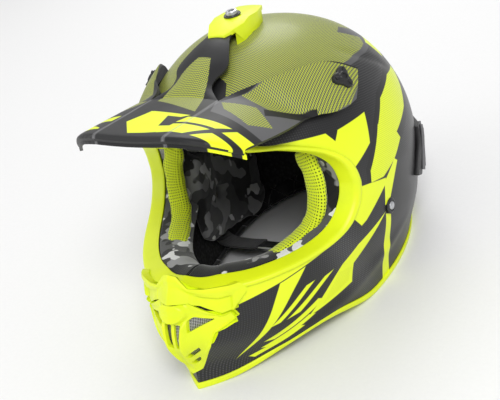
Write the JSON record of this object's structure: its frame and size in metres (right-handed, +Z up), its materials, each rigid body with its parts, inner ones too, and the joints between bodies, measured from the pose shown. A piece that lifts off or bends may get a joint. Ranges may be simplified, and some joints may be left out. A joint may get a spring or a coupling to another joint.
{
  "type": "motocross helmet",
  "caption": "Off-road full-face helmet with a long adjustable peak, open eyeport, projecting vented chin bar, foam liner, padding and a buckled chin strap.",
  "frame": {"origin": "middle of the helmet's footprint, on the ground plane that its rim rests on", "axes": "+Z up as it stands on its rim, -Y to the front (the way the wearer looks), +X to the wearer's left"},
  "size_m": [0.2282, 0.349, 0.2452],
  "materials": {
    "shell": "satin lacquer over dark woven composite",
    "yellow_trim": "satin",
    "peak": "satin",
    "black_plastic": "matte",
    "grey_plastic": "satin",
    "vent_mesh": "matte",
    "rubber": "matte",
    "steel": "satin",
    "dark_steel": "black oxide",
    "foam": "moulded foam",
    "liner_fabric": "padded knit",
    "mesh_fabric": "air mesh",
    "webbing": "woven"
  },
  "bodies": {
    "helmet": {"outer_shell": "shell", "rim_trim": "yellow_trim", "eyeport_trim": "yellow_trim", "nose_guard": "yellow_trim", "chin_vent_cover": "yellow_trim", "chin_vent_mesh": "vent_mesh", "peak_washer_left": "rubber", "peak_washer_right": "rubber", "peak_insert_left": "dark_steel", "peak_insert_right": "dark_steel", "top_scoop": "yellow_trim", "top_insert": "dark_steel", "brow_vent_left": "black_plastic", "brow_vent_right": "black_plastic", "rear_spoiler": "grey_plastic", "rear_vent_left": "grey_plastic", "rear_vent_right": "grey_plastic", "crown_foam": "foam", "cheek_foam_left": "foam", "cheek_foam_right": "foam", "chin_foam": "foam", "comfort_liner": "liner_fabric", "brow_pad": "mesh_fabric", "cheek_pad_left": "liner_fabric", "cheek_pad_right": "liner_fabric", "temple_pad_left": "mesh_fabric", "temple_pad_right": "mesh_fabric", "neck_roll": "liner_fabric", "rivet_washer_left": "dark_steel", "rivet_washer_right": "dark_steel", "strap_rivet_left": "steel", "strap_rivet_right": "steel", "strap_plate_left": "steel", "strap_plate_right": "steel", "chin_strap_left": "webbing", "chin_strap_right": "webbing", "buckle_body": "black_plastic", "buckle_pin": "steel", "buckle_blade": "steel", "pad_stud_1_left": "black_plastic", "pad_stud_1_right": "black_plastic", "pad_stud_2_left": "black_plastic", "pad_stud_2_right": "black_plastic", "pad_stud_3_left": "black_plastic", "pad_stud_3_right": "black_plastic"},
    "peak": {"peak": "peak"},
    "knob_left": {"peak_knob_left": "black_plastic"},
    "knob_right": {"peak_knob_right": "black_plastic"},
    "top_screw": {"top_screw": "steel"},
    "buckle_lever": {"buckle_lever": "yellow_trim"}
  },
  "joints": [
    {"name": "peak_tilt", "type": "hinge", "parent": "helmet", "child": "peak", "pos_m": [0, 0.01046, 0.18369], "axis": [1, 0, 0], "range_deg": [-4, 4]},
    {"name": "knob_left_turn", "type": "hinge", "parent": "helmet", "child": "knob_left", "pos_m": [0.08649, 0.01046, 0.18369], "axis": [0.801, -0.1093, 0.5886], "continuous": true},
    {"name": "knob_right_turn", "type": "hinge", "parent": "helmet", "child": "knob_right", "pos_m": [-0.08649, 0.01046, 0.18369], "axis": [-0.801, -0.1093, 0.5886], "continuous": true},
    {"name": "top_screw_turn", "type": "hinge", "parent": "helmet", "child": "top_screw", "pos_m": [0, 0.02246, 0.23139], "axis": [0, 0.0039, 1], "continuous": true},
    {"name": "buckle_lever_open", "type": "hinge", "parent": "helmet", "child": "buckle_lever", "pos_m": [0.031, -0.00622, 0.01742], "axis": [0, -0.9659, 0.2588], "range_deg": [0, 28], "stiffness_Nm_per_rad": 0.05, "springref_deg": -17.19}
  ]
}
